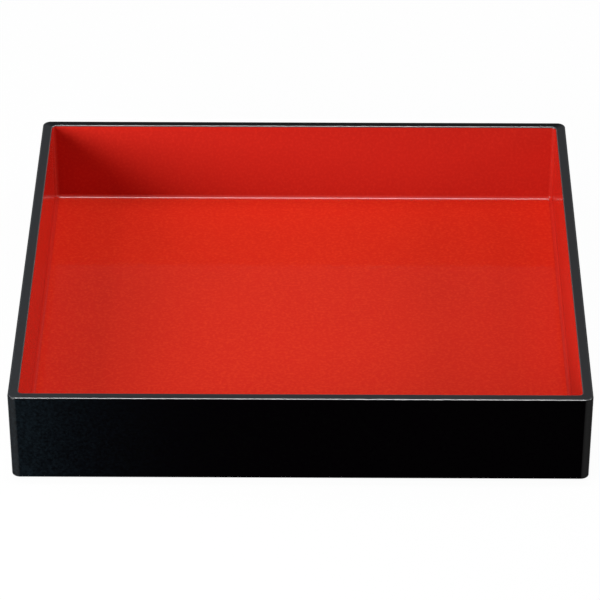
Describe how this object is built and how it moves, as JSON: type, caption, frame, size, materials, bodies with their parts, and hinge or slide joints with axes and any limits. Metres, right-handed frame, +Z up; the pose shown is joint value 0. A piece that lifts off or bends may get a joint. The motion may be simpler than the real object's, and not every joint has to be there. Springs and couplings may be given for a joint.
{
  "type": "lacquered stacking box tier",
  "caption": "Shallow square open tier of a stacking food box, with rounded corners, black lacquer outside and vermilion inside, and a low plinth that drops into the rim of a like tier.",
  "frame": {"origin": "on the surface that the tier stands on, under the middle of the tier", "axes": "+Z up, out of the open side; -Y to the front board; +X to the right board"},
  "size_m": [0.303, 0.303, 0.0515],
  "materials": {
    "black_lacquer": "polished black lacquer",
    "vermilion_lacquer": "polished vermilion lacquer",
    "side_wood": "planed softwood, bare under the lacquer",
    "spline_wood": "planed hardwood, bare under the lacquer",
    "bamboo": "split bamboo, bare under the lacquer"
  },
  "bodies": {
    "root": {"front_board": "side_wood", "back_board": "side_wood", "left_board": "side_wood", "right_board": "side_wood", "bottom_board": "side_wood", "front_left_splines": "spline_wood", "front_right_splines": "spline_wood", "back_left_splines": "spline_wood", "back_right_splines": "spline_wood", "bottom_pegs": "bamboo", "outer_lacquer": "black_lacquer", "underside_lacquer": "black_lacquer", "inner_lacquer": "vermilion_lacquer"}
  },
  "joints": []
}
